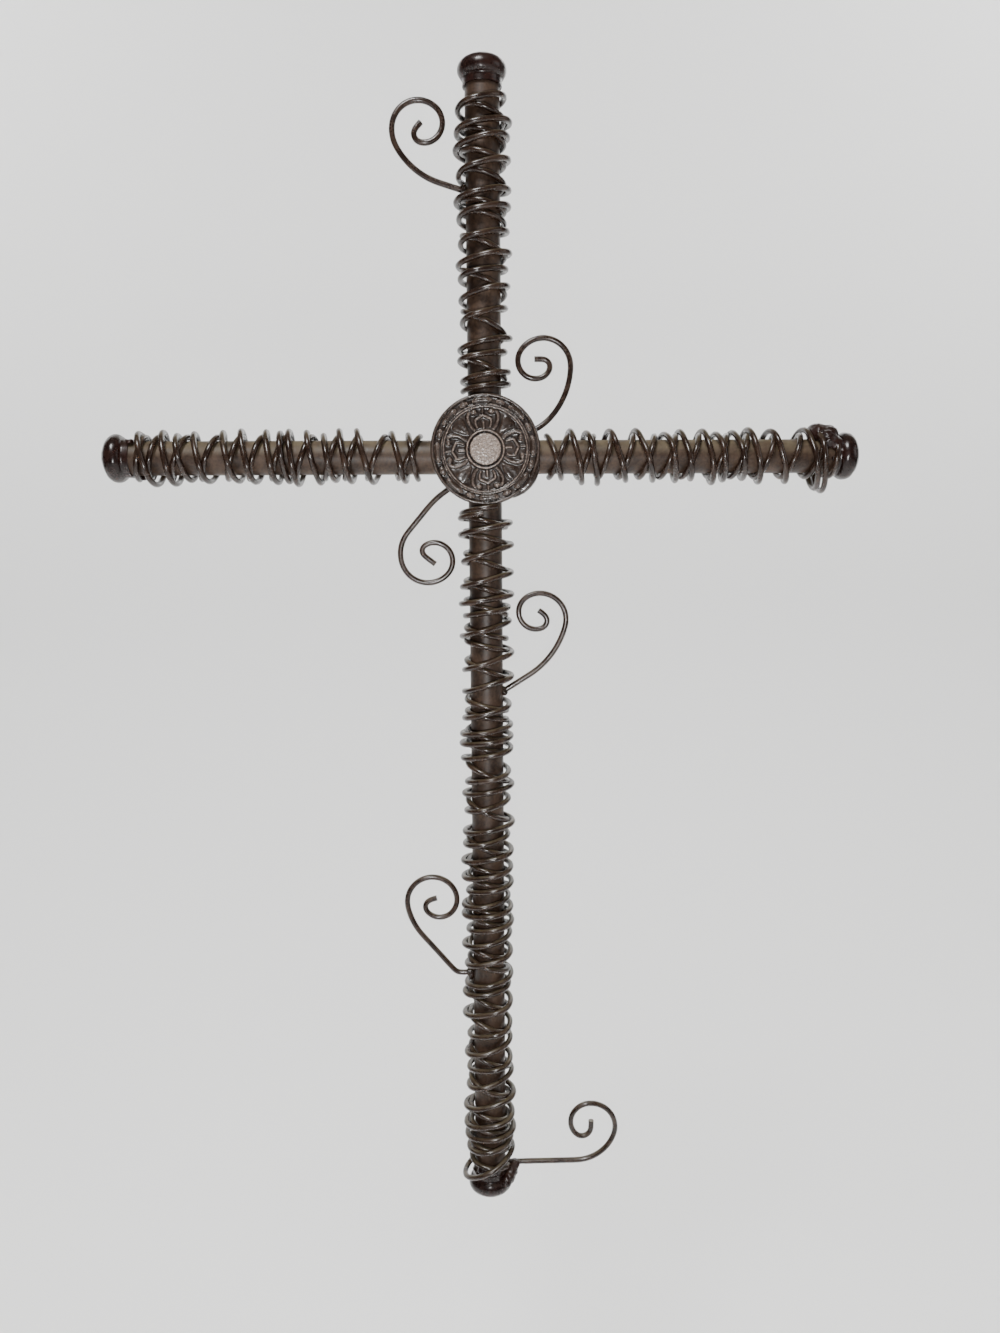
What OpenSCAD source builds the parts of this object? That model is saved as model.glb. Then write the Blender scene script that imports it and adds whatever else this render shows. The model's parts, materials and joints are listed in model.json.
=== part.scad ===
// Wrought iron wall cross: a tube shaft and two tube arms, each bound with two wires,
// cast caps, a cast medallion over the crossing and six curled wire scrolls.
// The front faces -Y, +X is right and +Z is up. The origin is the centre of the hanging
// hole, on the wall plane, straight behind the middle of the crossing.

/* [Cross] */
// From the crossing up to the top of the upper cap
rise = 212.5; // [180:0.5:260]
// From the crossing down to the foot of the lower cap
drop = 452; // [380:1:560]
// From the crossing out to the end of a side cap
reach = 213.5; // [180:0.5:260]

/* [Tube] */
// Outside diameter of the shaft and the arms
tube_d = 19; // [15:0.5:24]
// Wall thickness of the tube
tube_wall = 1.5; // [1:0.1:3]
// Gap that the weld fills where an arm is coped round the shaft
cope_gap = 0.2; // [0.1:0.05:0.5]

/* [Wire] */
// Diameter of the binding wire and of the scrolls
wire_d = 3.3; // [2.7:0.1:4]
// Looseness of each layer of wire on what it is wound over
wire_slack = 0.4; // [0.2:0.05:0.5]
// Share of each turn's advance that falls on the front of the tube
front_share = 0.7; // [0.4:0.05:0.8]

/* [Caps] */
// Widest diameter of a cap
cap_d = 27; // [24:0.5:34]
// Length of a cap, from its neck to the top of its dome
cap_len = 16.5; // [15:0.5:20]
// Height of the dome above the widest part
cap_dome = 8; // [6:0.5:9]
// Radius of the rolled edge at the widest part
cap_roll = 5.5; // [4.5:0.25:5.5]
// Wall of the neck round the tube end
cap_wall = 1.2; // [1:0.1:2]
// Depth of the socket that the tube end sits in
cap_socket = 9; // [5:0.5:10]
// Gap all round between a tube end and its socket
cap_fit = 0.15; // [0.1:0.05:0.3]

/* [Medallion] */
// Diameter of the medallion
medal_d = 61; // [50:0.5:72]
// Height of the medallion's centre above the crossing
medal_lift = 3.5; // [0:0.5:5]
// Thickness of the medallion's field
medal_plate = 3.2; // [2:0.1:5]
// Radius of the rolled rim
rim_roll = 3; // [2:0.1:4]
// Diameter of the boss at the centre
boss_d = 17; // [14:0.5:20]
// Turn of the whole medallion on its axis
medal_turn = 4; // [0:1:15]

/* [Hanger] */
// Gap between the wall and the wire at the back of the tubes
wall_gap = 0.3; // [0.2:0.1:4]
// Width of the hanging strap
strap_w = 14; // [12:0.5:18]
// Height of the hanging strap
strap_h = 40; // [30:1:50]
// Thickness of the strap
strap_t = 2; // [1.5:0.1:3]
// Diameter of the hole that passes over the nail head
hole_d = 8; // [6:0.5:9]
// Width of the slot that rests on the nail
slot_w = 4; // [3:0.5:4.5]
// Height of the slot's end above the hole's centre
slot_rise = 10; // [8:0.5:14]

/* [Hidden] */

tube_r = tube_d / 2;
wire_r = wire_d / 2;
cap_r = cap_d / 2;
medal_r = medal_d / 2;
boss_r = boss_d / 2;
hair = 0.1;                       // paint-thick gap between two pieces that are only welded
joint_gap = 0.12;                 // each bend of wire stops this far short of the next
knuckle_swell = 0.06;             // and a knuckle this much thicker than the wire joins them
most_lean = 13;                   // a turn leans no more than this as it crosses the front
weld_swell = 1.5;                 // the weld at a scroll's foot, against the wire's radius
curl_gap = 0.3;                   // least gap between a scroll's curl and the binding wires

// Centre-line radius of the wire laid on the tube, and of the wire wound over it
inner_r = tube_r + wire_slack + wire_r;
outer_r = inner_r + wire_slack + wire_d;
wrap_r = outer_r + wire_r;        // over both layers of wire

// The tubes' axes lie this far in front of the wall
axis_y = -(wrap_r + wall_gap);

// Where each arm's bare tube meets its cap, measured from the crossing
top_neck = rise - cap_len;
bottom_neck = drop - cap_len;
side_neck = reach - cap_len;

// How far the medallion covers each arm
medal_top = medal_r + medal_lift;
medal_bottom = medal_r - medal_lift;

// Advances of the hand-wound turns, counted from the cap towards the crossing. A longer stretch
// takes more turns at its cap end, from the end of its list again, and all are then fitted to
// its length.
TOP_INNER = [12, 11, 10, 15, 6, 15, 19, 22, 24];
TOP_OUTER = [12, 8, 13, 14, 9, 13, 11, 8, 10, 12, 15, 7, 11, 6];
BOTTOM_INNER = [9, 17, 19, 22, 15, 23, 8, 20, 7, 17, 8, 13, 22, 23, 15, 7, 12, 6, 21, 14, 7,
                15, 11, 15, 14, 9];
BOTTOM_OUTER = [11, 7, 9, 12, 14, 10, 11, 11, 14, 12, 5, 15, 11, 9, 9, 6, 9, 9, 10, 10, 7, 14,
                9, 8, 14, 8, 6, 11, 16, 13, 19, 10, 7, 11, 15, 14, 9];
LEFT_INNER = [7, 14, 17, 14, 12, 13, 14, 16, 11, 14, 19];
LEFT_OUTER = [12, 8, 10, 16, 10, 13, 7, 5, 11, 9, 9, 11, 19, 8];
RIGHT_INNER = [14, 15, 15, 12, 16, 13, 12, 12, 12, 11, 16];
RIGHT_OUTER = [5, 19, 14, 9, 11, 7, 13, 9, 15, 16, 15, 9, 13];

// Each run of wire: [advances, first turn, last turn], both measured from the crossing. The last
// turn of the right arm also leaves room for the scroll in the corner above it.
top_inner = run_of(TOP_INNER, top_neck - 13.5, medal_top + 15);
top_outer = run_of(TOP_OUTER, top_neck - 9, medal_top + 4);
bottom_inner = run_of(BOTTOM_INNER, bottom_neck - 30, medal_bottom + 9);
bottom_outer = run_of(BOTTOM_OUTER, bottom_neck - 8, medal_bottom + 4);
left_inner = run_of(LEFT_INNER, side_neck - 5.5, medal_r + 12);
left_outer = run_of(LEFT_OUTER, side_neck - 8.5, medal_r + 10);
right_inner = run_of(RIGHT_INNER, side_neck - 8.5, medal_r + 11);
right_outer = run_of(RIGHT_OUTER, side_neck - 7, max(medal_r + 8.5, 3 * wrap_r - 11.7));

function sum(list, n) = n < 1 ? 0 : list[n - 1] + sum(list, n - 1);

// A run with as many turns as its stretch takes at the list's own advances
function run_of(list, first, last) =
    let (n = len(list), turns = round((first - last) * n / sum(list, n)))
    [[for (k = [turns : -1 : 1]) list[n - 1 - (k - 1) % n]], first, last];

// Scale that fits a run's advances to its stretch
function fit(run) = (run[1] - run[2]) / sum(run[0], len(run[0]));

// Distance of turn k of a run from the crossing, at the front of the tube
function turn_at(run, k) = run[1] - fit(run) * sum(run[0], k);

// How far turn k leans along the tube as it crosses the front. The shorter of the advances on
// either side of it counts three times.
function lean(run, k) =
    let (n = len(run[0]), before = run[0][max(k - 1, 0)], after = run[0][min(k, n - 1)],
         advance = (before + after + 2 * min(before, after)) / 4)
    min(most_lean, front_share * fit(run) * advance);

// Distance from the crossing of the middle of the gap in front of turn k, counted back from
// the last turn. side is 1 where the turns come to the front, and -1 where they leave it.
function gap_at(run, back, side) =
    let (k = len(run[0]) - back)
    (turn_at(run, k) + turn_at(run, k + 1) + side * (lean(run, k) + lean(run, k + 1)) / 2) / 2;

// Angle by which a bend of radius r stops short of its end
function short_of(r) = atan(joint_gap / r);

// A swelling, a hair thicker than the wire, where two bends meet
module knuckle(p) {
    translate(p) sphere(wire_r + knuckle_swell, $fn = 24);
}

// Places its children, modelled along +Z from the crossing, on the arm at that angle
module arm(angle) {
    translate([0, axis_y, 0]) rotate([0, angle, 0]) children();
}

// Half a turn of wire round +Z, from height a at +X to height b at -X. It is the arc through
// those two points and the point at r in front or behind, and stops short of both, in the knuckles.
module half_turn(r, a, b, front) {
    slope = atan((a - b) / (2 * r));
    half = r / cos(slope);
    back = (half * half - r * r) / (2 * r);
    bend_r = r + back;
    begin = atan(back / half) + short_of(bend_r);
    translate([0, 0, (a + b) / 2])
        rotate([0, -slope, 0])
            rotate([front ? 180 : 0, 0, 0]) translate([0, -back, 0])
                rotate_extrude(angle = 180 - 2 * begin, start = begin)
                    translate([bend_r, 0]) circle(wire_r, $fn = 24);
}

// A run of wire bound round +Z. hand is 1 where each turn crosses the front from +X down to
// -X, and -1 the other way.
module bound_wire(run, r, hand) {
    last = len(run[0]);
    mirror([hand < 0 ? 1 : 0, 0, 0])
        for (k = [0 : last]) {
            enter = turn_at(run, k) + lean(run, k) / 2;
            leave = turn_at(run, k) - lean(run, k) / 2;
            half_turn(r, enter, leave, true);
            if (k > 0) knuckle([r, 0, enter]);
            if (k < last) {
                half_turn(r, turn_at(run, k + 1) + lean(run, k + 1) / 2, leave, false);
                knuckle([-r, 0, leave]);
            }
        }
}

module wire_inner(angle, run) {
    color("#3f2f28") arm(angle) bound_wire(run, inner_r, -1);
}

module wire_outer(angle, run) {
    color("#4a382f") arm(angle) bound_wire(run, outer_r, 1);
}

// The shaft runs through the crossing in one length
module shaft_tube() {
    low = -(bottom_neck + cap_socket);
    high = top_neck + cap_socket;
    color("#54443b") translate([0, axis_y, low]) difference() {
        cylinder(h = high - low, r = tube_r, $fn = 48);
        translate([0, 0, -1]) cylinder(h = high - low + 2, r = tube_r - tube_wall, $fn = 48);
    }
}

// A side arm, its inner end coped to the shaft
module arm_tube() {
    difference() {
        cylinder(h = side_neck + cap_socket, r = tube_r, $fn = 48);
        translate([0, 0, -1]) cylinder(h = reach + 2, r = tube_r - tube_wall, $fn = 48);
        rotate([0, 90, 0])
            cylinder(h = 3 * tube_d, r = tube_r + cope_gap, center = true, $fn = 48);
    }
}

// Half section of a cap: a dome that runs smoothly into the rolled edge, and a coved neck
module cap_section() {
    widest = cap_len - cap_dome;
    roll_x = cap_r - cap_roll;
    // the dome's centre lies this far below the roll's, where the two circles touch
    sink = (pow(roll_x, 2) - pow(cap_dome - cap_roll, 2)) / (2 * (cap_dome - cap_roll));
    dome_r = sink + cap_dome;
    neck_r = tube_r + cap_fit + cap_wall;
    cove_r = 2;                       // hollow round that joins the neck to the rolled edge
    translate([roll_x, widest]) circle(cap_roll, $fn = 64);
    intersection() {
        translate([0, widest - sink]) circle(dome_r, $fn = 180);
        translate([0, widest]) square([roll_x * dome_r / (dome_r - cap_roll), cap_dome + 1]);
    }
    translate([0, widest - cap_roll]) square([roll_x, cap_roll]);
    difference() {
        square([neck_r + cove_r, widest - 1]);
        translate([neck_r + cove_r, 0]) circle(cove_r, $fn = 48);
        translate([neck_r, -1]) square([cap_r, 1]);
    }
}

module cap(angle, at) {
    color("#5a3a30") arm(angle) translate([0, 0, at]) difference() {
        rotate_extrude($fn = 72) intersection() {
            cap_section();
            square([cap_r, cap_len]);
        }
        translate([0, 0, -1]) cylinder(h = cap_socket + 1, r = tube_r + cap_fit, $fn = 48);
    }
}

// ---- medallion, modelled face up and centred on its axis ----

rim_x = medal_r - rim_roll;                 // radius of the middle of the rolled rim
ridge_r = 0.6;                              // the two fine ridges inside the rim
ridge_x = rim_x - rim_roll - ridge_r;
field_in = boss_r + 2;                      // the carved field, from the boss ring
field_out = ridge_x - 2.4 * ridge_r;        // to the inner ridge
field = field_out - field_in;
cut_r = 0.65;                               // radius of the carved ribs
lip_r = 0.9;                                // the fine ring round the boss
boss_h = 3;                                 // rise of the boss above the field
boss_round = 1;                             // rounding of its edge
rim_sink = 0.6;                             // the rim's roll is cut this far into its round
bar_turn = 24;                              // length of a bar on the rim, as a turn
bar_sink = 1;                               // bars and beads lie this far under the rim's top

module medal_section() {
    square([rim_x, medal_plate]);
    intersection() {
        translate([rim_x, rim_roll - rim_sink]) circle(rim_roll, $fn = 48);
        square([medal_r, 3 * rim_roll]);
    }
    for (x = [ridge_x, ridge_x - 2.4 * ridge_r])
        translate([x, medal_plate]) circle(ridge_r, $fn = 24);
    translate([boss_r + lip_r, medal_plate]) circle(lip_r, $fn = 24);
    square([boss_r - boss_round, medal_plate + boss_h]);
    square([boss_r, medal_plate + boss_h - boss_round]);
    translate([boss_r - boss_round, medal_plate + boss_h - boss_round])
        circle(boss_round, $fn = 24);
}

// Astragal on the rim: long bars and single beads by turns
module astragal() {
    bead_r = 0.45 * rim_roll;
    top = 2 * rim_roll - bar_sink;
    for (k = [0 : 7]) rotate([0, 0, 45 * k]) {
        translate([0, 0, top]) {
            rotate([0, 0, 90 - bar_turn / 2]) rotate_extrude(angle = bar_turn)
                translate([rim_x, 0]) circle(bead_r, $fn = 20);
            for (side = [-1, 1]) rotate([0, 0, 90 + side * bar_turn / 2])
                translate([rim_x, 0, 0]) sphere(1.06 * bead_r, $fn = 20);
            rotate([0, 0, 90 + 22.5]) translate([rim_x, 0, 0]) sphere(bead_r, $fn = 20);
        }
    }
}

// A rounded rib lying on the field between two points
module rib(a, b) {
    d = b - a;
    translate([a[0], a[1], medal_plate]) rotate([0, 0, atan2(d[1], d[0])]) rotate([0, 90, 0])
        cylinder(h = norm(d), r = cut_r, $fn = 20);
    for (p = [a, b]) translate([p[0], p[1], medal_plate]) sphere(1.08 * cut_r, $fn = 20);
}

// One flower: two petals that curl in at the tip, round a pointed heart on a stem
module flower() {
    base = field_in + 0.1 * field;
    curl_y = field_in + 0.5 * field;
    curl_r = 0.36 * field;
    curl_x = 0.34 * field;
    tip = 95;
    for (side = [0, 1]) mirror([side, 0, 0]) {
        rib([0.47 * field, base], [curl_x + curl_r, curl_y]);
        translate([curl_x, curl_y, medal_plate]) {
            rotate_extrude(angle = tip) translate([curl_r, 0]) circle(cut_r, $fn = 20);
            rotate([0, 0, tip]) translate([curl_r, 0, 0]) sphere(1.7 * cut_r, $fn = 24);
        }
        rib([0, field_in + 0.72 * field], [0.3 * field, field_in + 0.52 * field]);
        rib([0.3 * field, field_in + 0.52 * field], [0.26 * field, field_in + 0.2 * field]);
    }
    rib([0, field_in + 0.72 * field], [0, field_out]);
}

// The pointed leaf between two flowers
module leaf() {
    half = 0.28 * field;
    tip = field_in + 0.92 * field;
    foot = field_in + 0.22 * field;
    translate([0, 0, medal_plate - 0.5]) linear_extrude(0.5 + cut_r)
        polygon([[0, foot], [half, tip - half], [0.5 * half, tip], [-0.5 * half, tip],
                 [-half, tip - half]]);
}

module medallion() {
    color("#4f2f27")
        translate([0, axis_y - tube_r - hair, medal_lift]) rotate([90, 0, 0])
            rotate([0, 0, medal_turn]) {
                rotate_extrude($fn = 96) medal_section();
                astragal();
                for (k = [0 : 3]) rotate([0, 0, 90 * k]) {
                    flower();
                    rotate([0, 0, 45]) leaf();
                }
            }
}

// ---- hanging strap: a keyhole plate on two short legs, welded behind the crossing ----

module hanging_strap() {
    leg_y = axis_y + tube_r / 2;
    color("#4a4039") difference() {
        union() {
            translate([-strap_w / 2, -strap_t, -strap_h / 2]) cube([strap_w, strap_t, strap_h]);
            for (z = [-strap_h / 2, strap_h / 2 - strap_t])
                translate([-strap_w / 2, leg_y, z]) cube([strap_w, -leg_y, strap_t]);
        }
        translate([0, axis_y, 0])
            cylinder(h = 2 * strap_h, r = tube_r + hair, center = true, $fn = 48);
        rotate([90, 0, 0]) cylinder(h = 3 * strap_t, d = hole_d, center = true, $fn = 48);
        translate([-slot_w / 2, -2 * strap_t, 0]) cube([slot_w, 3 * strap_t, slot_rise - slot_w / 2]);
        translate([0, 0, slot_rise - slot_w / 2]) rotate([90, 0, 0])
            cylinder(h = 3 * strap_t, d = slot_w, center = true, $fn = 24);
    }
}

// ---- scrolls: each is bent in the plane of the arms, as a chain of touching arcs ----

// Heading after a bend of that sweep, for a scroll that turns left (1) or right (-1)
function next_point(p, heading, hand, bend) =
    let (r = bend[0], s = bend[1], h = heading)
    r == 0 ? p + s * [cos(h), sin(h)]
           : p + hand * r * [sin(h + hand * s) - sin(h), cos(h) - cos(h + hand * s)];
function next_heading(heading, hand, bend) = heading + (bend[0] == 0 ? 0 : hand * bend[1]);

// Draws bends from index i on, starting at p. A bend is [radius, sweep], and a straight
// stretch is [0, length].
module bends(list, p, heading, hand, i = 0) {
    if (i < len(list)) {
        r = list[i][0];
        s = list[i][1];
        trim = r == 0 ? joint_gap : short_of(r);
        translate([p[0], 0, p[1]]) rotate([0, -heading, 0]) {
            if (r == 0) translate([trim, 0, 0]) rotate([0, 90, 0])
                cylinder(h = s - 2 * trim, r = wire_r, $fn = 24);
            else mirror([0, 0, hand > 0 ? 0 : 1]) translate([0, 0, r]) rotate([90, 0, 0])
                rotate_extrude(angle = s - 2 * trim, start = trim - 90)
                    translate([r, 0]) circle(wire_r, $fn = 24);
        }
        if (i > 0) knuckle([p[0], 0, p[1]]);
        bends(list, next_point(p, heading, hand, list[i]), next_heading(heading, hand, list[i]),
              hand, i + 1);
    }
}

// Length of a scroll's first, straight stretch, which takes it out past the binding wires
// and that much further
function out(heading, more) = (wrap_r + wire_r + curl_gap - tube_r + more) / abs(cos(heading));

// A scroll that stands on the side of the shaft. side is -1 on the left and 1 on the right,
// and the weld that holds its foot is part of it.
module shaft_scroll(side, z, heading, hand, list) {
    color("#46352d") translate([0, axis_y, 0]) difference() {
        union() {
            bends(list, [side * tube_r, z], heading, hand);
            translate([side * (tube_r + 0.4 * wire_r), 0, z])
                sphere(weld_swell * wire_r, $fn = 32);
        }
        cylinder(h = 3 * (rise + drop), r = tube_r + hair, center = true, $fn = 48);
    }
}

// A scroll that starts in a corner of the crossing, where wire and weld touch both tubes
module corner_scroll(side, heading, hand, list) {
    corner = side * (tube_r + wire_r + hair);
    color("#46352d") translate([0, axis_y, 0]) bends(list, [corner, corner], heading, hand);
}

module scroll_top_left() {
    shaft_scroll(-1, gap_at(top_outer, 11, -1), 163, -1,
                 [[0, out(163, 5)], [40, 43], [17.5, 45], [14.5, 115], [10.5, 150], [4.5, 125], [0, 4]]);
}

module scroll_top_right() {
    corner_scroll(1, 6, 1,
                  [[0, out(6, -3.5)], [32, 42], [43, 40], [15.4, 148], [10, 150], [7.5, 50],
                   [4, 105], [0, 5]]);
}

module scroll_middle_left() {
    corner_scroll(-1, 214, 1,
                  [[0, out(214, 1.9)], [50, 16], [0, 18], [19, 58], [15.5, 120], [11, 60],
                   [10.5, 105], [3.6, 110], [0, 8]]);
}

module scroll_middle_right() {
    shaft_scroll(1, -gap_at(bottom_outer, 9, -1) - 1.5, 32, 1,
                 [[0, out(32, 6.1)], [48, 43], [15.3, 130], [10.3, 175], [4.7, 125], [0, 4]]);
}

module scroll_bottom_left() {
    shaft_scroll(-1, -gap_at(bottom_outer, 26, 1), 180, -1,
                 [[0, out(180, -0.7)], [3, 50], [0, 30], [40, 30], [15, 175], [12, 50], [10, 110],
                  [4.5, 110], [0, 4]]);
}

module scroll_bottom_right() {
    shaft_scroll(1, -(bottom_neck - 3), 0, 1,
                 [[0, out(0, 34.6)], [25, 70], [16, 110], [12, 135], [5.5, 135], [0, 5]]);
}

shaft_tube();
color("#54443b") arm(-90) arm_tube();  // arm_tube_left
color("#54443b") arm(90) arm_tube();  // arm_tube_right
cap(0, top_neck);  // cap_top
cap(180, bottom_neck);  // cap_bottom
cap(-90, side_neck);  // cap_left
cap(90, side_neck);  // cap_right
medallion();
hanging_strap();
wire_inner(0, top_inner);  // wire_top_inner
wire_outer(0, top_outer);  // wire_top_outer
wire_inner(180, bottom_inner);  // wire_bottom_inner
wire_outer(180, bottom_outer);  // wire_bottom_outer
wire_inner(-90, left_inner);  // wire_left_inner
wire_outer(-90, left_outer);  // wire_left_outer
wire_inner(90, right_inner);  // wire_right_inner
wire_outer(90, right_outer);  // wire_right_outer
scroll_top_left();
scroll_top_right();
scroll_middle_left();
scroll_middle_right();
scroll_bottom_left();
scroll_bottom_right();
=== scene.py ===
import json
import math
import random

import bmesh
import bpy
from mathutils import Matrix, Vector, noise

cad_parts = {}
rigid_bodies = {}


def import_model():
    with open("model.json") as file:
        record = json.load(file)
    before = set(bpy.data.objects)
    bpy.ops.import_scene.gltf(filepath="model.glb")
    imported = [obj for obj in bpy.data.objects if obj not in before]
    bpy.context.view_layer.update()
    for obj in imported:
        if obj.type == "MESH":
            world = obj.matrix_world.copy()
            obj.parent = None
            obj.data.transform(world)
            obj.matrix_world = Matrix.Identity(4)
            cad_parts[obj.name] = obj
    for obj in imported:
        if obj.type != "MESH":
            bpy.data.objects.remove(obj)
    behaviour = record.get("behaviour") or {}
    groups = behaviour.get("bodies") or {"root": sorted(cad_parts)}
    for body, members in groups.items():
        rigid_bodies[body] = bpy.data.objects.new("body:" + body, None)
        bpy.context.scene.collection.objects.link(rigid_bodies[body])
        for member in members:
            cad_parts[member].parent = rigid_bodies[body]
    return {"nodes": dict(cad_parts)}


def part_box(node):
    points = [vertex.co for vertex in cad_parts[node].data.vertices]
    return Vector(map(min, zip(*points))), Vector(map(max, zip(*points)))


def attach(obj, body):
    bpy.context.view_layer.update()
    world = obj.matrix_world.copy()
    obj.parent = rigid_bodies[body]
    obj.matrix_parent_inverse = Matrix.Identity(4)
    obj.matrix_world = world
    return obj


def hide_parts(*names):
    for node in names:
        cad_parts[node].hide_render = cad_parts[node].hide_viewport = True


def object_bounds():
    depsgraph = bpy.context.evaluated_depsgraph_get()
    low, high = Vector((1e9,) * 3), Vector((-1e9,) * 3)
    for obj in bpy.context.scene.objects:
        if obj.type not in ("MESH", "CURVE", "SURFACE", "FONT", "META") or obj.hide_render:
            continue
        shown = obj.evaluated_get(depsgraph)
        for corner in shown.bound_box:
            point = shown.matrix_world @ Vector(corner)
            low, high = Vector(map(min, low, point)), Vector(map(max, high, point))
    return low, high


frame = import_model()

mm = 0.001
cadLow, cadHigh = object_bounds()

# Where the frame's parts are. Low and High are corners in metres, the rest is in millimetres. The front
# faces -Y.
shaftLow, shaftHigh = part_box("shaft_tube")
medalLow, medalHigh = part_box("medallion")
axisY = (shaftLow.y + shaftHigh.y) / 2 / mm
tubeR = (shaftHigh.x - shaftLow.x) / 2 / mm
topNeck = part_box("cap_top")[0].z / mm
bottomNeck = -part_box("cap_bottom")[1].z / mm
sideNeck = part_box("cap_right")[0].x / mm
capLength = (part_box("cap_top")[1].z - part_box("cap_top")[0].z) / mm
capR = (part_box("cap_top")[1].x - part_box("cap_top")[0].x) / 2 / mm
medalR = (medalHigh.x - medalLow.x) / 2 / mm
medalLift = (medalHigh.z + medalLow.z) / 2 / mm
medalBack = medalHigh.y / mm


# Helpers for the node trees. A value that they take may be a number or another node's socket.
def nodeGroup(name, inputs, outputs):
    group = bpy.data.node_groups.new(name, "ShaderNodeTree")
    for label, kind, value in inputs:
        socket = group.interface.new_socket(label, in_out="INPUT", socket_type=kind)
        if value is not None:
            socket.default_value = value
    for label, kind in outputs:
        group.interface.new_socket(label, in_out="OUTPUT", socket_type=kind)
    return group, group.nodes.new("NodeGroupInput"), group.nodes.new("NodeGroupOutput")


def noiseNode(tree, vector, scale, detail=3.0, roughness=0.55):
    node = tree.nodes.new("ShaderNodeTexNoise")
    node.inputs["Scale"].default_value = scale if isinstance(scale, (int, float)) else 1
    node.inputs["Detail"].default_value = detail
    node.inputs["Roughness"].default_value = roughness
    tree.links.new(vector, node.inputs["Vector"])
    if not isinstance(scale, (int, float)):
        tree.links.new(scale, node.inputs["Scale"])
    return node.outputs["Fac"]


def mapRange(tree, value, low, high, toLow=0.0, toHigh=1.0):
    node = tree.nodes.new("ShaderNodeMapRange")
    for label, source in (("Value", value), ("From Min", low), ("From Max", high),
                          ("To Min", toLow), ("To Max", toHigh)):
        if isinstance(source, (int, float)):
            node.inputs[label].default_value = source
        else:
            tree.links.new(source, node.inputs[label])
    return node.outputs["Result"]


def mathNode(tree, kind, a, b, clamp=False):
    node = tree.nodes.new("ShaderNodeMath")
    node.operation = kind
    node.use_clamp = clamp
    for socket, source in ((node.inputs[0], a), (node.inputs[1], b)):
        if isinstance(source, (int, float)):
            socket.default_value = source
        else:
            tree.links.new(source, socket)
    return node.outputs["Value"]


def mixColour(tree, factor, a, b):
    node = tree.nodes.new("ShaderNodeMix")
    node.data_type = "RGBA"
    for socket, source in ((node.inputs[0], factor), (node.inputs[6], a), (node.inputs[7], b)):
        if isinstance(source, (int, float)):
            socket.default_value = source
        elif isinstance(source, tuple):
            socket.default_value = (*source, 1)
        else:
            tree.links.new(source, socket)
    return node.outputs[2]


def makeMottle():  # uneven paint: two scales of cloud between two colours
    group, given, result = nodeGroup(
        "paintMottle",
        [("Vector", "NodeSocketVector", None), ("Scale", "NodeSocketFloat", 60.0),
         ("Dark", "NodeSocketColor", (0, 0, 0, 1)), ("Light", "NodeSocketColor", (1, 1, 1, 1))],
        [("Color", "NodeSocketColor"), ("Mask", "NodeSocketFloat")])
    broad = noiseNode(group, given.outputs["Vector"], given.outputs["Scale"])
    fineScale = mathNode(group, "MULTIPLY", given.outputs["Scale"], 9.0)
    fine = noiseNode(group, given.outputs["Vector"], fineScale, 4.0, 0.65)
    broadShare = mathNode(group, "MULTIPLY", broad, 0.6)
    fineShare = mathNode(group, "MULTIPLY", fine, 0.4)
    both = mathNode(group, "ADD", broadShare, fineShare)
    mask = mapRange(group, both, 0.40, 0.60)
    colour = mixColour(group, mask, given.outputs["Dark"], given.outputs["Light"])
    group.links.new(colour, result.inputs["Color"])
    group.links.new(mask, result.inputs["Mask"])
    return group


def makeDust():  # dust that has settled on what faces up, in patches
    group, given, result = nodeGroup(
        "dustFall",
        [("Vector", "NodeSocketVector", None), ("Scale", "NodeSocketFloat", 90.0),
         ("Amount", "NodeSocketFloat", 0.6), ("Steepness", "NodeSocketFloat", 0.1)],
        [("Mask", "NodeSocketFloat")])
    geometry = group.nodes.new("ShaderNodeNewGeometry")
    split = group.nodes.new("ShaderNodeSeparateXYZ")
    group.links.new(geometry.outputs["Normal"], split.inputs["Vector"])
    facing = mapRange(group, split.outputs["Z"], given.outputs["Steepness"], 0.95)
    cloud = noiseNode(group, given.outputs["Vector"], given.outputs["Scale"], 5.0, 0.6)
    patches = mapRange(group, cloud, 0.38, 0.6, 0.2, 1.0)
    grain = noiseNode(group, given.outputs["Vector"], 2600.0, 2.0, 0.5)
    speckle = mapRange(group, grain, 0.3, 0.7, 0.7, 1.0)
    mask = mathNode(group, "MULTIPLY", facing, patches)
    mask = mathNode(group, "MULTIPLY", mask, speckle)
    mask = mathNode(group, "MULTIPLY", mask, given.outputs["Amount"], True)
    group.links.new(mask, result.inputs["Mask"])
    return group


def makePits():  # brush marks and small pits in the paint
    group, given, result = nodeGroup(
        "paintPits",
        [("Vector", "NodeSocketVector", None), ("Scale", "NodeSocketFloat", 400.0)],
        [("Height", "NodeSocketFloat")])
    cells = group.nodes.new("ShaderNodeTexVoronoi")
    group.links.new(given.outputs["Vector"], cells.inputs["Vector"])
    group.links.new(given.outputs["Scale"], cells.inputs["Scale"])
    pits = mapRange(group, cells.outputs["Distance"], 0.02, 0.22)
    patchScale = mathNode(group, "MULTIPLY", given.outputs["Scale"], 0.16)
    patches = noiseNode(group, given.outputs["Vector"], patchScale)
    here = mapRange(group, patches, 0.5, 0.62)
    depth = mathNode(group, "SUBTRACT", 1.0, pits)
    depth = mathNode(group, "MULTIPLY", here, depth)
    pits = mathNode(group, "SUBTRACT", 1.0, depth)
    brushed = noiseNode(group, given.outputs["Vector"], given.outputs["Scale"], 4.0, 0.6)
    pitShare = mathNode(group, "MULTIPLY", pits, 0.6)
    brushShare = mathNode(group, "MULTIPLY", brushed, 0.4)
    height = mathNode(group, "ADD", pitShare, brushShare)
    group.links.new(height, result.inputs["Height"])
    return group


mottle = makeMottle()
dustFall = makeDust()
paintPits = makePits()

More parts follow.
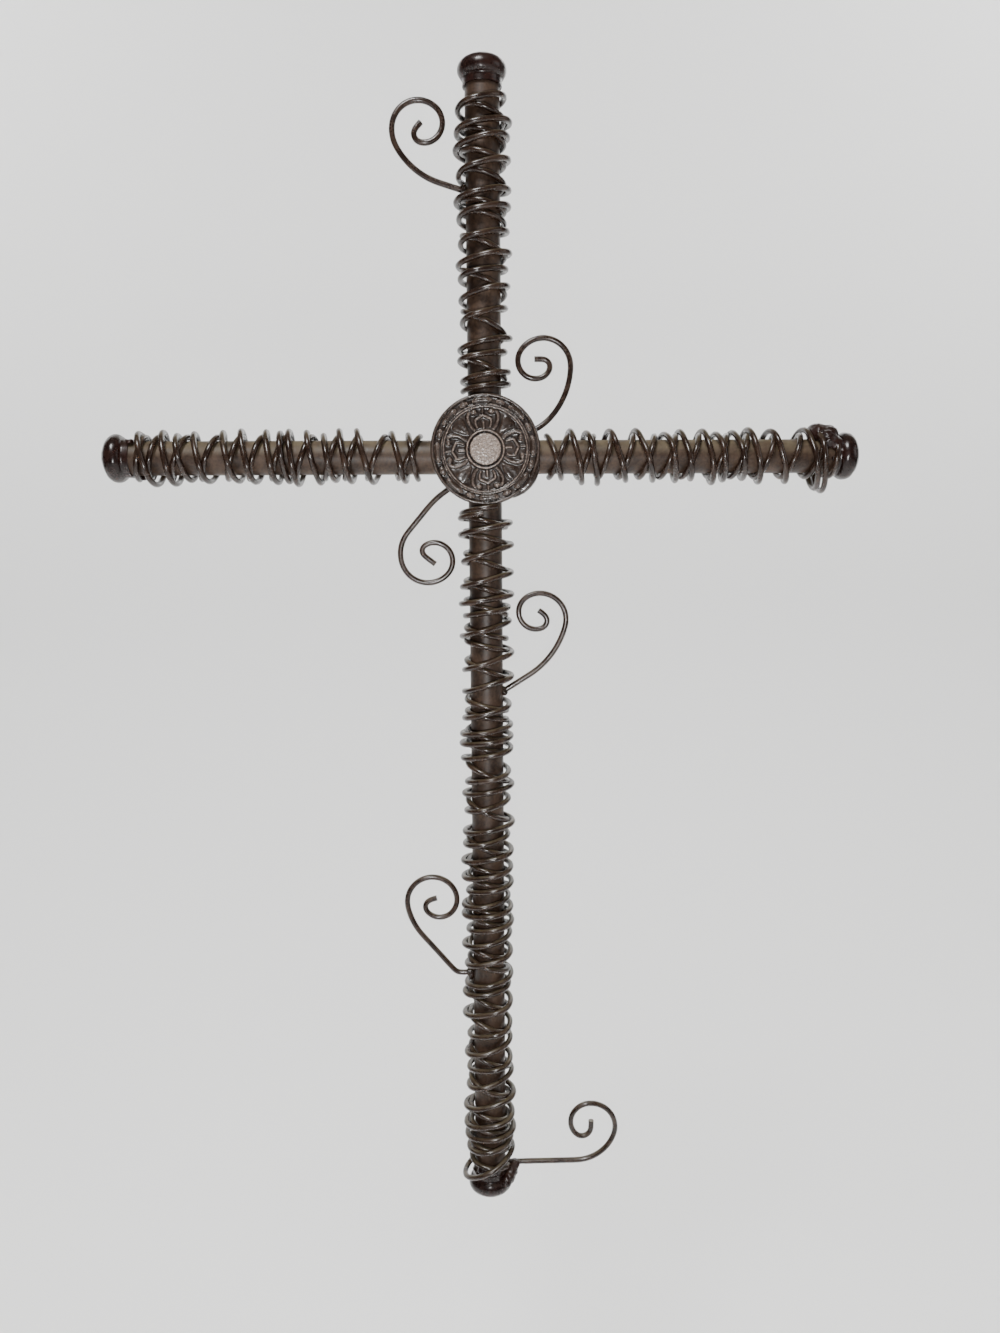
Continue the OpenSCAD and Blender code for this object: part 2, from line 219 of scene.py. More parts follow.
# One finish for each material slot. Mottle, dustScale and pits are noise scales, rough is the roughness
# at its two ends, and a low steepness lets dust lie on steeper faces.
finishes = {
    "tube_paint": {"dark": (0.020, 0.0098, 0.0054), "light": (0.072, 0.042, 0.0258), "mottle": 75,
                   "dust": (0.19, 0.152, 0.09), "dustAmount": 0.95, "dustScale": 80, "steepness": 0.02,
                   "rough": (0.38, 0.56), "pits": 420, "bump": 0.36, "coat": 0.0, "specular": 0.4},
    "wire_paint": {"dark": (0.014, 0.0062, 0.0036), "light": (0.036, 0.0185, 0.0108), "mottle": 110,
                   "dust": (0.17, 0.138, 0.078), "dustAmount": 0.5, "dustScale": 120, "steepness": 0.3,
                   "rough": (0.20, 0.32), "pits": 700, "bump": 0.14, "coat": 0.25, "specular": 0.45},
    "cap_paint": {"dark": (0.0075, 0.0024, 0.0017), "light": (0.023, 0.0082, 0.0056), "mottle": 70,
                  "dust": (0.13, 0.09, 0.06), "dustAmount": 0.2, "dustScale": 110, "steepness": 0.4,
                  "rough": (0.22, 0.34), "pits": 520, "bump": 0.18, "coat": 0.1, "specular": 0.38},
    "medallion_paint": {"dark": (0.012, 0.0060, 0.0037), "light": (0.031, 0.0175, 0.0112), "mottle": 90,
                        "dust": (0.17, 0.13, 0.08), "dustAmount": 0.22, "dustScale": 160, "steepness": 0.3,
                        "rough": (0.24, 0.38), "pits": 900, "bump": 0.2, "coat": 0.4, "specular": 0.4},
    "strap_steel": {"dark": (0.040, 0.027, 0.020), "light": (0.085, 0.063, 0.050), "mottle": 80,
                    "dust": (0.2, 0.165, 0.12), "dustAmount": 0.35, "dustScale": 90, "steepness": 0.3,
                    "rough": (0.45, 0.65), "pits": 600, "bump": 0.3, "coat": 0.0, "specular": 0.4},
}
# Tints for the medallion's relief: the darkening of the hollows is painted shade, the lighter raised tops
# are paint wear and also a painted highlight, and the boss is the bare metal's own colour
reliefWearAndPaintedLight = {"hollow_shade": (0.006, 0.0035, 0.0028), "rub_and_highlight": (0.50, 0.39, 0.33), "boss": (0.44, 0.35, 0.295)}
gloss = {"coatRoughness": 0.16, "dustRoughness": 0.35, "bumpDepth": 0.0003, "speckle": 1100.0}


def paintedMetal(slot, relief=False):  # relief adds the medallion's paint wear on raised tops, lightened also as a painted highlight, and its hollows darkened as painted shade
    look = finishes[slot]
    material = bpy.data.materials.new(slot + ("_relief" if relief else "_finish"))
    material.use_nodes = True
    tree = material.node_tree
    shader = tree.nodes["Principled BSDF"]
    place = tree.nodes.new("ShaderNodeTexCoord").outputs["Object"]

    paint = tree.nodes.new("ShaderNodeGroup")
    paint.node_tree = mottle
    paint.inputs["Scale"].default_value = look["mottle"]
    paint.inputs["Dark"].default_value = (*look["dark"], 1)
    paint.inputs["Light"].default_value = (*look["light"], 1)
    dust = tree.nodes.new("ShaderNodeGroup")
    dust.node_tree = dustFall
    dust.inputs["Scale"].default_value = look["dustScale"]
    dust.inputs["Amount"].default_value = look["dustAmount"]
    dust.inputs["Steepness"].default_value = look["steepness"]
    pits = tree.nodes.new("ShaderNodeGroup")
    pits.node_tree = paintPits
    pits.inputs["Scale"].default_value = look["pits"]
    for node in (paint, dust, pits):
        tree.links.new(place, node.inputs["Vector"])

    colour = paint.outputs["Color"]
    rough = mapRange(tree, paint.outputs["Mask"], 0.0, 1.0, *look["rough"])
    if relief:
        speckle = mapRange(tree, noiseNode(tree, place, gloss["speckle"], 5.0, 0.75), 0.4, 0.6, 0.3, 1.0)
        # raised tops get paint wear with a painted highlight, and the hollows get painted shade
        for name, tint in reliefWearAndPaintedLight.items():
            mark = tree.nodes.new("ShaderNodeAttribute")
            mark.attribute_name = name
            share = mark.outputs["Fac"]
            if name != "hollow_shade":
                share = mathNode(tree, "MULTIPLY", share, speckle)
            colour = mixColour(tree, share, colour, tint)
    colour = mixColour(tree, dust.outputs["Mask"], colour, look["dust"])
    dulled = mathNode(tree, "MULTIPLY", dust.outputs["Mask"], gloss["dustRoughness"])
    rough = mathNode(tree, "ADD", rough, dulled, True)
    tree.links.new(colour, shader.inputs["Base Color"])
    tree.links.new(rough, shader.inputs["Roughness"])
    shader.inputs["Metallic"].default_value = 0.0
    shader.inputs["Coat Weight"].default_value = look["coat"]
    shader.inputs["Coat Roughness"].default_value = gloss["coatRoughness"]
    shader.inputs["Specular IOR Level"].default_value = look["specular"]
    bump = tree.nodes.new("ShaderNodeBump")
    bump.inputs["Strength"].default_value = look["bump"]
    bump.inputs["Distance"].default_value = gloss["bumpDepth"]
    tree.links.new(pits.outputs["Height"], bump.inputs["Height"])
    tree.links.new(bump.outputs["Normal"], shader.inputs["Normal"])
    return material


materials = {slot: paintedMetal(slot) for slot in finishes}
print("finishes made")


def finishPiece(name, mesh, slot, replaced, material=None):  # a finished mesh in place of a CAD node
    piece = bpy.data.objects.new(name, mesh)
    bpy.context.scene.collection.objects.link(piece)
    mesh.materials.clear()
    mesh.materials.append(material or materials[slot])
    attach(piece, "root")
    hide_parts(replaced)


def sweep(points, radii, sides=3):  # a round bar along points in millimetres, as a bmesh
    curve = bpy.data.curves.new("bar", "CURVE")
    curve.dimensions = "3D"
    curve.bevel_depth = mm
    curve.bevel_resolution = sides
    curve.use_fill_caps = True
    line = curve.splines.new("POLY")
    line.points.add(len(points) - 1)
    for dot, at, radius in zip(line.points, points, radii):
        dot.co = (at[0] * mm, at[1] * mm, at[2] * mm, 1)
        dot.radius = radius
    holder = bpy.data.objects.new("bar", curve)
    mesh = bpy.data.meshes.new_from_object(holder)
    bar = bmesh.new()
    bar.from_mesh(mesh)
    bpy.data.objects.remove(holder)
    bpy.data.curves.remove(curve)
    bpy.data.meshes.remove(mesh)
    bmesh.ops.remove_doubles(bar, verts=bar.verts, dist=mm * 0.001)
    bmesh.ops.recalc_face_normals(bar, faces=bar.faces)
    return bar


def join(parts):  # one bmesh from several
    whole = bmesh.new()
    for part in parts:
        mesh = bpy.data.meshes.new("part")
        part.to_mesh(mesh)
        part.free()
        whole.from_mesh(mesh)
        bpy.data.meshes.remove(mesh)
    return whole


def toMesh(shape, name, smoothAngle=40):  # smooth shaded, with edges sharper than the angle kept
    for face in shape.faces:
        face.smooth = True
    for edge in shape.edges:
        if len(edge.link_faces) == 2 and edge.calc_face_angle() > math.radians(smoothAngle):
            edge.smooth = False
    mesh = bpy.data.meshes.new(name)
    shape.to_mesh(mesh)
    shape.free()
    return mesh


def lump(centre, size, rough=0.25, seed=0, detail=3):  # a blob of weld metal, millimetres
    blob = bmesh.new()
    bmesh.ops.create_icosphere(blob, subdivisions=detail, radius=mm)
    for vert in blob.verts:
        swell = 1 + rough * noise.fractal(vert.co / mm * 1.6 + Vector((seed * 7.3, seed, 0)), 0.6, 2.0, 3)
        vert.co = Vector((vert.co.x * size[0], vert.co.y * size[1], vert.co.z * size[2])) * swell
        vert.co += Vector(centre) * mm
    return blob


def fused(parts, name, voxel, passes):  # parts run together as one casting
    rough = bpy.data.objects.new(name, toMesh(join(parts), name))
    bpy.context.scene.collection.objects.link(rough)
    cast = rough.modifiers.new("cast", "REMESH")
    cast.mode = "VOXEL"
    cast.voxel_size = voxel * mm
    soften = rough.modifiers.new("soften", "SMOOTH")
    soften.factor = 0.5
    soften.iterations = passes
    graph = bpy.context.evaluated_depsgraph_get()
    mesh = bpy.data.meshes.new_from_object(rough.evaluated_get(graph))
    bpy.data.objects.remove(rough)
    shape = bmesh.new()
    shape.from_mesh(mesh)
    bpy.data.meshes.remove(mesh)
    return shape


weld = {"voxel": 0.4, "softening": 40, "drops": 3, "dropSize": (0.6, 1.2), "reach": 0.8, "wave": 0.3,
        "waveScale": 0.55, "grain": 0.16, "grainScale": 1.5}


def weldRun(lumps, seed):  # fused lumps of weld: x, y from the tube's middle, z, and three half sizes
    dice = random.Random(seed)
    reach = weld["reach"]
    parts = []
    for x, y, z, wide, deep, high in lumps:
        parts.append(lump((x, y + axisY, z), (wide, deep, high), 0.12, dice.random() * 9))
        for _ in range(weld["drops"]):
            at = (x + dice.uniform(-reach, reach) * wide, y + axisY + dice.uniform(-reach, 0) * deep,
                  z + dice.uniform(-reach, reach) * high)
            size = dice.uniform(*weld["dropSize"])
            parts.append(lump(at, (size, size, size), 0.1, dice.random() * 9, 2))
    run = fused(parts, "weld", weld["voxel"], weld["softening"])
    for vert in run.verts:
        at = vert.co / mm
        wave = weld["wave"] * noise.noise(at * weld["waveScale"])
        grain = weld["grain"] * noise.noise(at * weld["grainScale"])
        vert.co += vert.normal * (wave + grain) * mm
    return run


def onArm(angle, point):  # a point modelled up +Z from the crossing, moved onto the arm at that angle
    x, y, z = point
    turn = math.radians(angle)
    return Vector((x * math.cos(turn) + z * math.sin(turn), y + axisY,
                   z * math.cos(turn) - x * math.sin(turn)))


wire = {"diameter": 3.3, "slack": 0.15, "frontShare": 0.7, "mostLean": 13.0, "stepsPerHalf": 26,
        "loose": 1.1, "spread": 4.2, "near": 14, "waver": 0.035, "slip": 27.5, "seed": 11}
wireR = wire["diameter"] / 2

# For each wire the advances of its turns, from the cap towards the crossing, then the heights where it
# starts and ends
medalTop = medalR + medalLift
medalBottom = medalR - medalLift
runs = {
    "top": {"angle": 0, "inner": ([12, 11, 10, 15, 6, 15, 19, 22, 24], topNeck - 13.5, medalTop + 15),
            "outer": ([12, 8, 13, 14, 9, 13, 11, 8, 10, 12, 15, 7, 11, 6], topNeck - 9, medalTop + 4)},
    "bottom": {"angle": 180,
               "inner": ([9, 17, 19, 22, 15, 23, 8, 20, 7, 17, 8, 13, 22, 23, 15, 7, 12, 6, 21, 14, 7, 15,
                          11, 15, 14, 9], bottomNeck - 30, medalBottom + 9),
               "outer": ([11, 7, 9, 12, 14, 10, 11, 11, 14, 12, 5, 15, 11, 9, 9, 6, 9, 9, 10, 10, 7, 14,
                          9, 8, 14, 8, 6, 11, 16, 13, 19, 10, 7, 11, 15, 14, 9], bottomNeck - 8,
                         medalBottom + 4)},
    "left": {"angle": -90,
             "inner": ([7, 14, 17, 14, 12, 13, 14, 16, 11, 14, 19], sideNeck - 5.5, medalR + 12),
             "outer": ([12, 8, 10, 16, 10, 13, 7, 5, 11, 9, 9, 11, 19, 8], sideNeck - 8.5, medalR + 10)},
    "right": {"angle": 90,
              "inner": ([14, 15, 15, 12, 16, 13, 12, 12, 12, 11, 16], sideNeck - 8.5, medalR + 11),
              "outer": ([5, 19, 14, 9, 11, 7, 13, 9, 15, 16, 15, 9, 13], sideNeck - 7, medalR + 8.5)},
}

# An outer wire starts lead degrees further back and rises on the way, hangs loose in its sags, and is cut
# short by a number of steps. A sag is (angle, spread, outwards, along).
ends = {
    "top": {"lead": 100, "rise": -3, "sags": [], "cut": 0},
    "bottom": {"lead": 130, "rise": -1.5, "sags": [(0, 78, 2.8, 6.8), (180, 50, 0.0, -1.5)], "cut": 13},
    "left": {"lead": 100, "rise": -2, "sags": [(200, 60, 1.0, 0)], "cut": 0},
    "right": {"lead": 140, "rise": 2, "sags": [(0, 48, 6.8, 1.6), (360, 44, 5.2, 1.4), (540, 60, 0.9, 0)],
              "cut": 0},
}
innerLead = {"bottom": (700, 23.0), "right": (420, 7.5)}  # degrees and height wound on towards the cap


def windingHeights(run):  # for each turn, where it comes to the front and where it leaves it
    advances, first, last = run
    scale = (first - last) / sum(advances)
    heights = []
    at = first
    for k in range(len(advances) + 1):
        before = advances[max(k - 1, 0)]
        after = advances[min(k, len(advances) - 1)]
        advance = (before + after + 2 * min(before, after)) / 4
        lean = min(wire["mostLean"], wire["frontShare"] * scale * advance)
        heights.append((at + lean / 2, at - lean / 2))
        if k < len(advances):
            at -= scale * advances[k]
    return heights


def windingPath(run):  # (angle, height) pairs. The angle is 90 at the front and 270 behind.
    heights = windingHeights(run)
    steps = wire["stepsPerHalf"]
    path = []
    for k, (enter, leave) in enumerate(heights):
        halves = [(enter, leave)]
        if k + 1 < len(heights):
            halves.append((leave, heights[k + 1][0]))
        for h, (a, b) in enumerate(halves):
            for i in range(steps):
                part = i / steps
                ease = 0.5 * part + 0.25 * (1 - math.cos(math.pi * part))
                path.append((360 * k + 180 * (h + part), a + (b - a) * ease))
    return path


def smoothed(values, passes):  # evened out along the list, with its two ends kept
    for _ in range(passes):
        values = [values[0]] + [(values[i - 1] + 2 * values[i] + values[i + 1]) / 4
                                for i in range(1, len(values) - 1)] + [values[-1]]
    return values


def asPoint(angle, height, radius, hand):  # hand 1 winds one way and -1 the other
    turn = math.radians(angle)
    return Vector((hand * radius * math.cos(turn), -radius * math.sin(turn), height))


def windArm(arm):
    run = runs[arm]
    dice = random.Random(wire["seed"] + run["angle"])
    innerR = tubeR + wire["slack"] + wireR
    stepBy = 180 / wire["stepsPerHalf"]
    inner = windingPath(run["inner"])
    onwards, further = innerLead.get(arm, (0, 0))
    steps = round(onwards / stepBy)
    inner = [(-stepBy * i, inner[0][1] + further * i / steps) for i in range(steps, 0, -1)] + inner
    innerRadii = []
    for angle, height in inner:
        shift = noise.noise(Vector((angle / 90, run["angle"], 3)))
        innerRadii.append(innerR + 0.25 + 0.25 * shift)
    innerPoints = [asPoint(a, h, r, -1) for (a, h), r in zip(inner, innerRadii)]

    outer = windingPath(run["outer"])
    end = ends[arm]
    outer = outer[:len(outer) - end["cut"]]
    leadSteps = round(end["lead"] / stepBy)
    lead = [(-stepBy * i, outer[0][1] + end["rise"] * i / leadSteps) for i in range(leadSteps, 0, -1)]
    outer = lead + outer
    slackness = [dice.uniform(0.2, 1.0) for _ in range(len(run["outer"][0]) + 2)]
    outerRadii = []
    for angle, height in outer:
        here = asPoint(angle, height, innerR, 1)
        gaps = [(here - there).length_squared for there in innerPoints
                if abs(there.z - height) < wire["near"]]
        bump = math.exp(-min(gaps, default=400) / wire["spread"] ** 2)  # 1 over the inner wire
        loose = wire["loose"] * slackness[max(int(angle // 360), 0)]
        radius = innerR + loose + (wire["diameter"] + 0.35 - loose) * bump
        outerRadii.append(radius)
    outerRadii = smoothed(outerRadii, 6)
    outerHeights = smoothed([h for _, h in outer], 3)
    for at, spread, outwards, along in end["sags"]:
        for i, (angle, _) in enumerate(outer):
            share = math.exp(-((angle - at) / spread) ** 2)
            outerRadii[i] += outwards * share
            outerHeights[i] += along * share
    outerPoints = [asPoint(a, h, r, 1) for (a, _), h, r in zip(outer, outerHeights, outerRadii)]
    deepest = axisY - cadLow.y / mm - wireR * 1.05  # no loop stands further out than the frame allows
    for point in outerPoints:
        point.y = max(-deepest, min(deepest, point.y))
    for layer, points in (("inner", innerPoints), ("outer", outerPoints)):
        name = f"wire_{arm}_{layer}"
        radii = [wireR * (1 + wire["waver"] * noise.noise(p * 0.22)) for p in points]
        parts = [sweep([onArm(run["angle"], p) for p in points], radii)]
        if arm == "bottom" and layer == "inner":  # the last turn slips out from under the medallion
            slip = [asPoint(a, wire["slip"] + 0.035 * (a - 60), innerR + 2.2, -1)
                    for a in range(64, 230, 6)]
            parts.append(sweep([onArm(run["angle"], p) for p in slip], [wireR] * len(slip)))
        finishPiece(name + "_bound", toMesh(join(parts), name + "_bound"), "wire_paint", name)


for arm in runs:
    windArm(arm)
    print("wires bound on the", arm, "arm")


scrollBar = {"step": 0.9, "evening": 8, "wander": 0.5, "waver": 0.03, "sides": 5, "cornerGap": 0.1,
             "lumps": 5, "lumpSize": (1.3, 2.3)}

# Bends are (radius, sweep), or (0, length) for a straight stretch. A start is x and the gap between two
# turns that the scroll comes out of: layer, arm, turn and side. A corner is beside the crossing, and a foot
# is a place.
scrolls = {
    "top_left": {"start": (-tubeR, "outer", "top", 3, -1), "heading": 163, "hand": -1,
                 "bends": [(0, 15.0), (40, 43), (17.5, 45), (14.5, 115), (10.5, 150), (4.5, 125),
                           (0, 4)]},
    "top_right": {"corner": 1, "heading": 6, "hand": 1,
                  "bends": [(0, 5.9), (32, 42), (43, 40), (15.4, 148), (10, 150), (7.5, 50), (4, 105),
                            (0, 5)]},
    "middle_left": {"corner": -1, "heading": 214, "hand": 1,
                    "bends": [(0, 13.6), (50, 16), (0, 18), (19, 58), (15.5, 120), (11, 60), (10.5, 105),
                              (3.6, 110), (0, 8)]},
    "middle_right": {"start": (tubeR, "outer", "bottom", 28, -1), "lower": 1.5, "heading": 32, "hand": 1,
                     "bends": [(0, 18.2), (48, 43), (15.3, 130), (10.3, 175), (4.7, 125), (0, 4)]},
    "bottom_left": {"start": (-tubeR, "outer", "bottom", 11, 1), "heading": 180, "hand": -1,
                    "bends": [(0, 8.7), (3, 50), (0, 30), (40, 30), (15, 175), (12, 50), (10, 110),
                              (4.5, 110), (0, 4)]},
    "bottom_right": {"foot": (tubeR, -(bottomNeck - 3)), "heading": 0, "hand": 1,
                     "bends": [(0, 44), (25, 70), (16, 110), (12, 135), (5.5, 135), (0, 5)]},
}


def scrollStart(scroll):
    if "corner" in scroll:
        corner = scroll["corner"] * (tubeR + wireR + scrollBar["cornerGap"])
        return corner, corner
    if "foot" in scroll:
        return scroll["foot"]
    x, layer, arm, k, side = scroll["start"]
    heights = windingHeights(runs[arm][layer])
    pick = 0 if side > 0 else 1
    gap = (heights[k][pick] + heights[k + 1][pick]) / 2
    return x, (gap if arm == "top" else -gap) - scroll.get("lower", 0)


def bendPath(x, z, heading, hand, bends):
    points = [(x, z)]
    for radius, sweepBy in bends:
        length = sweepBy if radius == 0 else radius * math.radians(sweepBy)
        steps = max(3, round(length / scrollBar["step"]))
        for _ in range(steps):
            turn = 0 if radius == 0 else hand * sweepBy / steps
            heading += turn / 2
            x += length / steps * math.cos(math.radians(heading))
            z += length / steps * math.sin(math.radians(heading))
            heading += turn / 2
            points.append((x, z))
    return points


def makeScroll(name, scroll):
    x, z = scrollStart(scroll)
    flat = bendPath(x, z, scroll["heading"], scroll["hand"], scroll["bends"])
    xs = smoothed([p[0] for p in flat], scrollBar["evening"])
    zs = smoothed([p[1] for p in flat], scrollBar["evening"])
    points = [Vector((px, axisY + scrollBar["wander"] * noise.noise(Vector((i / 45, z, 0))), pz))
              for i, (px, pz) in enumerate(zip(xs, zs))]
    radii = [wireR * (1 + scrollBar["waver"] * noise.noise(p * 0.18)) for p in points]
    parts = [sweep(points, radii, scrollBar["sides"])]
    side = -1 if x < 0 else 1
    dice = random.Random(len(name) * 31)
    for i in range(scrollBar["lumps"]):  # weld round the scroll's foot
        at = (x + side * dice.uniform(-0.4, 2.2), axisY + dice.uniform(-2.4, 1.6),
              z + dice.uniform(-1.8, 1.8))
        size = [dice.uniform(*scrollBar["lumpSize"]) for _ in range(3)]
        parts.append(lump(at, size, 0.3, i + len(name)))
    full = f"scroll_{name}"
    finishPiece(full + "_bent", toMesh(join(parts), full + "_bent", 60), "wire_paint", full)


for name, scroll in scrolls.items():
    makeScroll(name, scroll)
print("scrolls bent and welded")


cap = {"dome": 8.0, "roll": 5.5, "neckWall": 1.35, "cove": 2.0, "socket": 9.0, "fit": 0.15, "steps": 96,
       "dent": 0.16, "inset": 0.1,
       "beads": {"cap_top": 0, "cap_bottom": 8, "cap_left": 0, "cap_right": 6}}


def arc(cx, cz, radius, start, end, count):  # points of an arc, in degrees
    return [(cx + radius * math.cos(math.radians(start + (end - start) * i / count)),
             cz + radius * math.sin(math.radians(start + (end - start) * i / count)))
            for i in range(count + 1)]


def capProfile():  # (radius, height): up the socket, out over the neck, round the roll and the dome
    widest = capLength - cap["dome"]
    rollX = capR - cap["roll"]
    sink = (rollX ** 2 - (cap["dome"] - cap["roll"]) ** 2) / (2 * (cap["dome"] - cap["roll"]))
    domeR = sink + cap["dome"]
    meet = math.degrees(math.atan2(sink, rollX))
    neckR = tubeR + cap["neckWall"]
    outline = [(tubeR + cap["fit"], cap["socket"]), (tubeR + cap["fit"], 0), (neckR, 0)]
    outline += arc(neckR + cap["cove"], widest - cap["roll"] - 0.2, cap["cove"], 180, 120, 6)
    outline += arc(rollX, widest, cap["roll"], -62, meet, 22)
    outline += arc(0, widest - sink, domeR, meet, 90, 14)[1:]
    return outline


capWelds = {  # the larger lumps of weld by each cap
    "cap_top": [(-6, -9.5, 186, 2.2, 1.4, 1.6)],
    "cap_bottom": [(-5.0, -10.0, -430.8, 3.6, 2.4, 2.8), (-0.6, -11.0, -432.4, 3.8, 2.2, 2.6),
                   (3.8, -10.6, -431.4, 3.0, 2.2, 2.4), (14.6, -1.4, -432.8, 4.0, 3.6, 2.9),
                   (13.0, -4.2, -435.2, 3.9, 3.9, 4.2), (11.4, -6.8, -437.8, 3.7, 3.8, 4.2),
                   (9.6, -8.6, -440.4, 3.4, 3.3, 3.5)],
    "cap_left": [(-196, -7, 8.5, 2.2, 2.6, 1.4), (-193, 2, -10.5, 3.0, 2.5, 1.6)],
    "cap_right": [(189.8, -1, 12.9, 6.6, 7.4, 5.6), (195.2, -2, 11.8, 5.8, 7.8, 5.4),
                  (193.4, -8.0, 8.8, 5.4, 4.4, 5.0), (198.6, -8.4, 6.0, 4.2, 3.4, 4.2),
                  (202.4, -9.4, 3.2, 2.8, 2.2, 2.6)],
}


def makeCap(name, angle, neck, seed):  # spun round the tube's middle, then turned onto its arm
    shape = bmesh.new()
    points = [shape.verts.new((r * mm, 0, z * mm)) for r, z in capProfile()]
    edges = [shape.edges.new(pair) for pair in zip(points, points[1:])]
    bmesh.ops.spin(shape, geom=points + edges, cent=(0, 0, 0), axis=(0, 0, 1), angle=math.tau,
                   steps=cap["steps"], use_merge=True)
    rim = [e for e in shape.edges if len(e.link_faces) == 1]
    bmesh.ops.contextual_create(shape, geom=rim)
    bmesh.ops.remove_doubles(shape, verts=shape.verts, dist=mm * 0.002)
    bmesh.ops.recalc_face_normals(shape, faces=shape.faces)
    for vert in shape.verts:
        push = noise.fractal(vert.co / mm * 0.16 + Vector((seed, 0, 0)), 0.8, 2.0, 3)
        vert.co += vert.normal * (push * cap["dent"] - cap["inset"]) * mm
    parts = [shape]
    dice = random.Random(seed)
    beads = cap["beads"][name]
    for i in range(beads):  # drops of weld round the neck
        turn = math.tau * (i + dice.uniform(-0.4, 0.4)) / beads
        r = tubeR + dice.uniform(0.2, 0.9)
        size = [dice.uniform(0.9, 1.6), dice.uniform(1.1, 2.2), dice.uniform(0.5, 1.3)]
        bead = lump((0, 0, 0), size, 0.3, i + seed, 2)
        spot = Matrix.Translation(Vector((r, 0, dice.uniform(-0.8, 0.8))) * mm)
        bmesh.ops.transform(bead, matrix=Matrix.Rotation(turn, 4, "Z") @ spot, verts=bead.verts)
        parts.append(bead)
    whole = join(parts)
    matrix = Matrix.Translation(Vector((0, axisY, 0)) * mm)
    matrix = matrix @ Matrix.Rotation(math.radians(angle), 4, "Y")
    matrix = matrix @ Matrix.Translation(Vector((0, 0, neck)) * mm)
    bmesh.ops.transform(whole, matrix=matrix, verts=whole.verts)
    whole = join([whole, weldRun(capWelds[name], seed)])
    finishPiece(name + "_cast", toMesh(whole, name + "_cast", 50), "cap_paint", name)


for name, angle, neck, seed in (("cap_top", 0, topNeck, 3), ("cap_bottom", 180, bottomNeck, 8),
                                ("cap_left", -90, sideNeck, 5), ("cap_right", 90, sideNeck, 12)):
    makeCap(name, angle, neck, seed)
print("caps cast")


medal = {"turn": 4.0, "voxel": 0.3, "softening": 2, "steps": 128, "bossR": 8.75, "field": 3.1,
         "channelR": 26.6, "pairs": 8, "longBead": 23.0, "shortBead": 9.8, "petals": 4, "edgeFrom": 28.4}

flower = {  # for each rib of a flower: its Bezier cage, the thickness of its two ends, and its steps
    "petal": ([(5.0, 10.2), (8.8, 13.6), (10.2, 21.0), (4.9, 20.6)], (0.85, 1.2), 18),
    "shoulder": ([(0, 18.5), (4.2, 16.2)], (0.72, 0.75), 4),
    "cheek": ([(4.2, 16.2), (4.7, 14.2), (3.4, 11.8)], (0.75, 0.6), 8),
    "tip": ([(0, 18.5), (0, 22.9)], (0.55, 0.65), 4),
    "stem": ([(0, 11.4), (0, 15.0)], (0.75, 0.6), 4),
}
petalCurl = {"at": (5.0, 20.2), "lift": 0.5, "size": (1.75, 1.4, 1.5)}
leafShape = {"middle": 17.6, "half": 5.6, "wide": 5.5, "sink": 0.3, "thick": 1.05, "dish": 0.3}
edgeWeld = {"start": -64, "end": -14, "thick": 2.1, "drops": ((-88, 1.3), (-52, 1.5), (-35, 1.7))}


def medalProfile():  # (radius, height) of boss, collar, field, two fine rings, channel, edge and back
    edge = medalR
    return [(0, 5.3), (7.0, 5.2), (8.4, 4.95), (8.75, 3.9), (9.05, 2.9), (9.5, 3.5), (9.9, 4.4),
            (10.5, 4.45), (11.0, 3.5), (11.5, 2.9), (16, 2.7), (21.8, 2.9), (22.6, 3.2), (22.9, 4.1),
            (23.3, 4.2), (23.7, 3.4), (24.0, 4.3), (24.4, 4.6), (24.7, 4.1), (24.95, 2.9), (28.3, 2.9),
            (28.5, 3.7), (28.9, 4.3), (29.5, 4.45), (edge - 0.5, 4.1), (edge - 0.1, 3.4), (edge, 2.6),
            (edge - 0.1, 1.4), (edge - 0.9, 0.2), (edge - 1.6, 0), (0, 0)]


def ring(radius, height, start, end, count):  # points of an arc about the medallion's middle
    return [Vector((radius * math.cos(math.radians(start + (end - start) * i / count)),
                    radius * math.sin(math.radians(start + (end - start) * i / count)), height))
            for i in range(count + 1)]


def bezierRib(name, side):  # side -1 is the mirrored rib
    points, thick, count = flower[name]
    dots = [Vector((side * x, y, medal["field"])) for x, y in points]
    rib = []
    for i in range(count + 1):
        t = i / count
        level = dots
        while len(level) > 1:
            level = [a.lerp(b, t) for a, b in zip(level, level[1:])]
        rib.append(level[0])
    radii = [thick[0] + (thick[1] - thick[0]) * i / count for i in range(count + 1)]
    return sweep(rib, radii)


def turned(shape, turn):  # about the medallion's middle
    matrix = Matrix.Rotation(math.radians(turn), 3, "Z")
    bmesh.ops.rotate(shape, cent=(0, 0, 0), matrix=matrix, verts=shape.verts)
    return shape


def flowerPart(turn):
    parts = []
    curlX, curlY = petalCurl["at"]
    for side in (-1, 1):
        parts.append(bezierRib("petal", side))
        curl = (side * curlX, curlY, medal["field"] + petalCurl["lift"])
        parts.append(lump(curl, petalCurl["size"], 0.12, 2, 3))
        parts.append(bezierRib("shoulder", side))
        parts.append(bezierRib("cheek", side))
    parts.append(bezierRib("tip", 1))
    parts.append(bezierRib("stem", 1))
    return turned(join(parts), turn)


def leafPart(turn):  # a soft fan between two flowers, widest at the rim
    fan = bmesh.new()
    bmesh.ops.create_icosphere(fan, subdivisions=4, radius=1)
    for vert in fan.verts:
        x, y, z = vert.co
        wide = leafShape["wide"] * (0.2 + 0.4 * (y + 1))
        dish = leafShape["dish"] * math.exp(-(x * 2.2) ** 2)
        height = medal["field"] - leafShape["sink"] + (leafShape["thick"] - dish) * z
        vert.co = Vector((x * wide, leafShape["middle"] + y * leafShape["half"], height)) * mm
    return turned(fan, turn)


